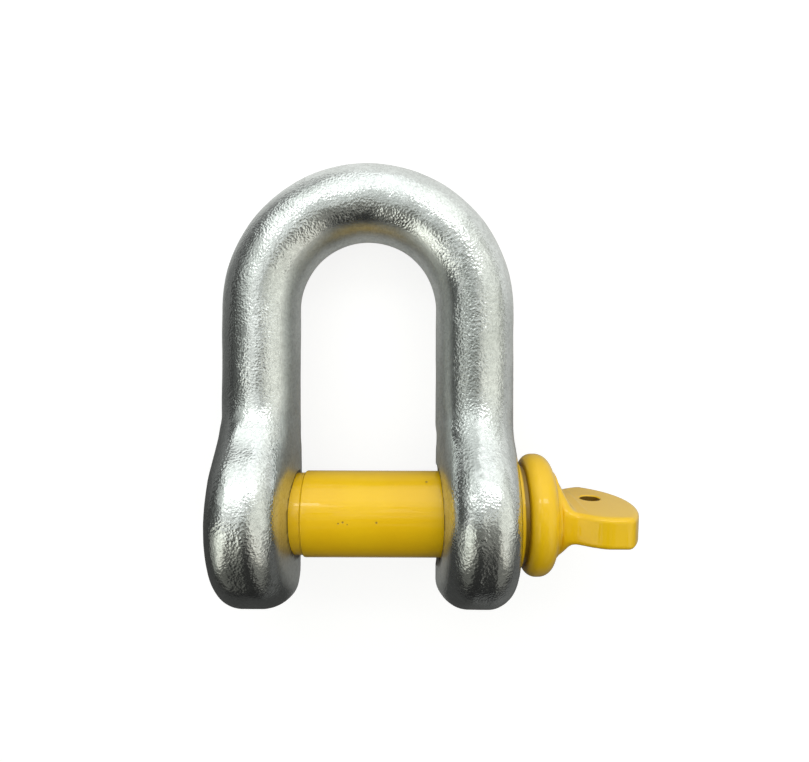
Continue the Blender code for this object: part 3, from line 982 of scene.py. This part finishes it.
softboxDistance = 0.9
softboxCentre = (0.0, 0.04, 0.0)

# Single panels: azimuth, elevation, width and height in degrees, strength, color, distance
softPanels = {
    "bright": (90, 57, 52, 8, 4.0, (0.98, 1.0, 0.98), softboxDistance),
    "hood": (180, 61, 50, 22, 0.52, (1.0, 1.0, 0.97), 0.18),  # close over the left leg
    "leftGlint": (228, 36, 10, 42, 0.70, (1.0, 0.98, 0.86), softboxDistance),
    "rightGlint": (311, 36, 10, 42, 0.45, (1.0, 0.95, 0.82), softboxDistance),
}


def makeFloor():
    # A flat grid a little below the ground, white to the camera and shaded for what mirrors it
    s = studio
    edge = np.linspace(-s["floorSize"] / 2, s["floorSize"] / 2, s["floorSquares"] + 1)
    x, y = np.meshgrid(edge, edge, indexing="ij")
    points = np.stack([x, y, np.full_like(x, -s["floorDrop"])], axis=-1).reshape(-1, 3)
    index = np.arange(x.size).reshape(x.shape)
    faces = np.stack([index[:-1, :-1], index[1:, :-1], index[1:, 1:], index[:-1, 1:]], axis=-1)
    mesh = bpy.data.meshes.new("floor")
    mesh.from_pydata(points.tolist(), [], faces.reshape(-1, 4).tolist())
    floor = addObject("floor", mesh)
    material, kit, output = newMaterial("paleFloor")
    path = kit.add("ShaderNodeLightPath")
    mirrored = kit.math("MAXIMUM", path.outputs["Is Glossy Ray"],
                        path.outputs["Is Transmission Ray"])
    where = kit.add("ShaderNodeTexCoord").outputs["Object"]
    apart = kit.add("ShaderNodeSeparateXYZ", Vector=where)
    sides = []
    for axis, low, high, top in zip("XY", s["brightFrom"], s["brightTo"], s["brightLift"]):
        side = kit.add("ShaderNodeMapRange", {"interpolation_type": "SMOOTHSTEP"},
                       Value=apart.outputs[axis], From_Min=low, From_Max=high, To_Max=top)
        sides.append(side.outputs["Result"])
    for number, (axis, edges) in enumerate((("Y", s["darkFront"]), ("X", s["darkSide"]))):
        fade = kit.add("ShaderNodeMapRange", Value=apart.outputs[axis], From_Min=edges[0],
                       From_Max=edges[1], To_Min=s["darkLeft"]).outputs["Result"]
        sides[number] = kit.math("MULTIPLY", sides[number], fade)
    level = kit.math("MAXIMUM", *sides)
    fromMiddle = kit.math("ABSOLUTE", kit.math("SUBTRACT", apart.outputs["X"], lying["place"][0]))
    middle = kit.add("ShaderNodeMapRange", Value=fromMiddle, From_Min=s["gapEdges"][0],
                     From_Max=s["gapEdges"][1], To_Min=s["gapLift"], To_Max=0.0).outputs["Result"]
    ahead = kit.add("ShaderNodeMapRange", Value=apart.outputs["Y"], From_Min=s["gapFront"][0],
                    From_Max=s["gapFront"][1]).outputs["Result"]
    level = kit.math("MAXIMUM", level, kit.math("MULTIPLY", middle, ahead))
    color = kit.spread(level, s["nearShade"], s["farShade"])
    away = kit.add("ShaderNodeVectorMath", {"operation": "LENGTH"}, Vector=where)
    far = kit.add("ShaderNodeMapRange", Value=away.outputs["Value"], From_Min=s["farWhite"][0],
                  From_Max=s["farWhite"][1]).outputs["Result"]
    seenShade = kit.spread(far, s["seenShade"], 0.0)
    seenLift = kit.spread(far, s["seenLift"], 1.0)
    color = kit.add("ShaderNodeMapRange", Value=path.outputs["Is Camera Ray"], To_Min=color,
                    To_Max=seenShade).outputs["Result"]
    bright = kit.math("ADD", kit.math("MULTIPLY", level, s["mirrorLift"]), s["metalLift"])
    shade = kit.add("ShaderNodeAmbientOcclusion", {"samples": s["hollowSamples"]},
                    Distance=s["hollow"])
    bright = kit.math("MULTIPLY", bright, shade.outputs["AO"])
    lift = kit.math("ADD", kit.math("MULTIPLY", path.outputs["Is Camera Ray"], seenLift),
                    kit.math("MULTIPLY", mirrored, bright))
    shader = kit.add("ShaderNodeBsdfDiffuse", Color=color)
    glow = kit.add("ShaderNodeEmission", Strength=lift)
    both = kit.add("ShaderNodeAddShader")
    kit.tree.links.new(shader.outputs[0], both.inputs[0])
    kit.tree.links.new(glow.outputs[0], both.inputs[1])
    kit.tree.links.new(both.outputs[0], output.inputs["Surface"])
    mesh.materials.append(material)


def makeWorld():
    # White to the camera and nearly dark to everything else
    world = bpy.data.worlds.new("paleStudio")
    bpy.context.scene.world = world
    world.use_nodes = True
    world.node_tree.nodes.clear()
    kit = Nodes(world.node_tree)
    path = kit.add("ShaderNodeLightPath")
    color = kit.add("ShaderNodeMix", {"data_type": "RGBA"})
    kit.tree.links.new(path.outputs["Is Camera Ray"], color.inputs["Factor"])
    color.inputs[6].default_value = (*studio["roomColor"], 1.0)
    color.inputs[7].default_value = (1.0, 1.0, 1.0, 1.0)
    back = kit.add("ShaderNodeBackground", Color=color.outputs[2])
    output = kit.add("ShaderNodeOutputWorld")
    kit.tree.links.new(back.outputs[0], output.inputs["Surface"])


def makeSoftbox(name, azimuth, elevation, width, height, glow, color,
                distance=softboxDistance):
    # A flat panel facing the shackle, sized by the angles that it fills
    light = bpy.data.lights.new(name, "AREA")
    light.shape = "RECTANGLE"
    light.size = 2 * distance * math.tan(math.radians(width / 2))
    light.size_y = 2 * distance * math.tan(math.radians(height / 2))
    light.energy = glow * math.pi * light.size * light.size_y
    light.color = color
    obj = bpy.data.objects.new(name, light)
    bpy.context.scene.collection.objects.link(obj)
    turn, rise = math.radians(azimuth), math.radians(elevation)
    way = Vector((math.cos(turn) * math.cos(rise), math.sin(turn) * math.cos(rise),
                  math.sin(rise)))
    centre = Vector(softboxCentre)
    spot = layMatrix @ (centre + way * distance)
    aim = layMatrix @ centre - spot
    facing = aim.to_track_quat("-Z", "Y").to_matrix().to_4x4()
    obj.matrix_world = Matrix.Translation(spot) @ facing
    obj.visible_camera = False


def makeRing(name, elevation, height, glows):
    # Panels side by side, as many as the ring has strengths
    share = 360 / len(glows)
    for number, glow in enumerate(glows):
        azimuth = share * number
        color = [float(np.interp(azimuth, list(sideColors), channel))
                 for channel in zip(*sideColors.values())]
        flat = math.tan(math.radians(share / 2)) * math.cos(math.radians(elevation))
        width = 2 * math.degrees(math.atan(flat))
        makeSoftbox(name + str(number), azimuth, elevation, width, height, glow, color)


camera = {
    "place": (0.0120, 0.0437, 0.210),  # in the shackle's frame, looking square at the dee
    "rollDegrees": -0.2,
    "focalPixels": 637.0,
    "widthPixels": 809.0,
    "sensorMillimetres": 36.0,
    "nearest": 0.005,
}


def makeCamera():
    # Looks straight down on the plane of the dee
    lens = bpy.data.cameras.new("photoCamera")
    lens.sensor_width = camera["sensorMillimetres"]
    lens.lens = camera["focalPixels"] / camera["widthPixels"] * lens.sensor_width
    lens.clip_start = camera["nearest"]
    obj = bpy.data.objects.new("photoCamera", lens)
    bpy.context.scene.collection.objects.link(obj)
    roll = Matrix.Rotation(-math.radians(camera["rollDegrees"]), 4, "Z")
    obj.matrix_world = layMatrix @ Matrix.Translation(camera["place"]) @ roll
    bpy.context.scene.camera = obj


makeFloor()
makeWorld()
for name, ring in softRings.items():
    makeRing(name, *ring)
for name, panel in softPanels.items():
    makeSoftbox(name, *panel)
makeCamera()
bpy.context.scene.view_settings.view_transform = "Standard"
print("floor, light and camera in place")
